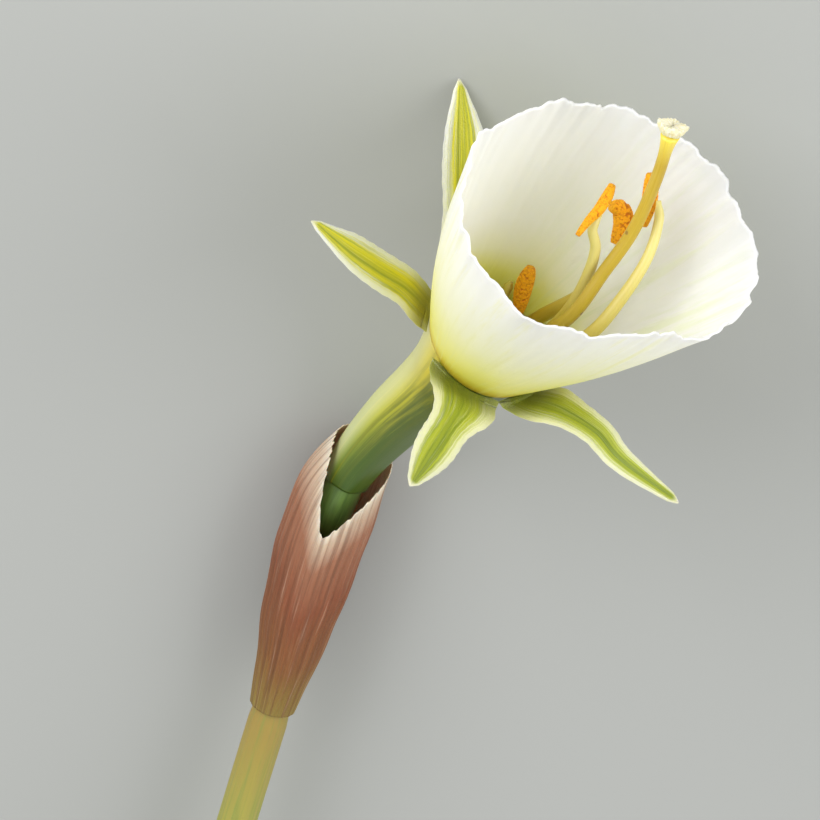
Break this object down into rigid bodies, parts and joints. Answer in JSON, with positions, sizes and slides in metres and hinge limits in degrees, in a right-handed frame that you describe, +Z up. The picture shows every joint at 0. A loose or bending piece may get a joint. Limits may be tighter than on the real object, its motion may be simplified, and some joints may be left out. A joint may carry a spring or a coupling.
{
  "type": "narcissus flower",
  "caption": "Picked hoop-petticoat narcissus flower lying down: ivory funnel corona, narrow green-white tepals, orange anthers, papery spathe and cut stem.",
  "frame": {"origin": "on the surface the flower lies on, below the middle of its bounding box", "axes": "+Z up from the surface, +Y along the flower's length from the cut stem to the corona, +X to the right of that"},
  "size_m": [0.033, 0.1214, 0.0315],
  "materials": {
    "corona": "ivory petal tissue, thin and slightly translucent, faint veins",
    "perianth_tube": "smooth yellow-green plant skin",
    "ovary": "smooth green plant skin",
    "spathe": "dry papery sheath, pinkish brown",
    "scape": "smooth olive green stem",
    "tepal": "green midrib band between pale margins, satin",
    "filament": "smooth pale mustard thread",
    "anther": "granular orange pollen, matt",
    "style": "smooth mustard yellow thread",
    "stigma": "cream, finely ragged"
  },
  "bodies": {
    "root": {"corona": "corona", "perianth_tube": "perianth_tube", "ovary": "ovary", "spathe": "spathe", "scape": "scape", "tepal_1": "tepal", "tepal_2": "tepal", "tepal_3": "tepal", "tepal_4": "tepal", "tepal_5": "tepal", "tepal_6": "tepal", "filament_1": "filament", "filament_2": "filament", "filament_3": "filament", "filament_4": "filament", "filament_5": "filament", "filament_6": "filament", "anther_1": "anther", "anther_2": "anther", "anther_3": "anther", "anther_4": "anther", "anther_5": "anther", "anther_6": "anther", "style": "style", "stigma": "stigma"}
  },
  "joints": []
}
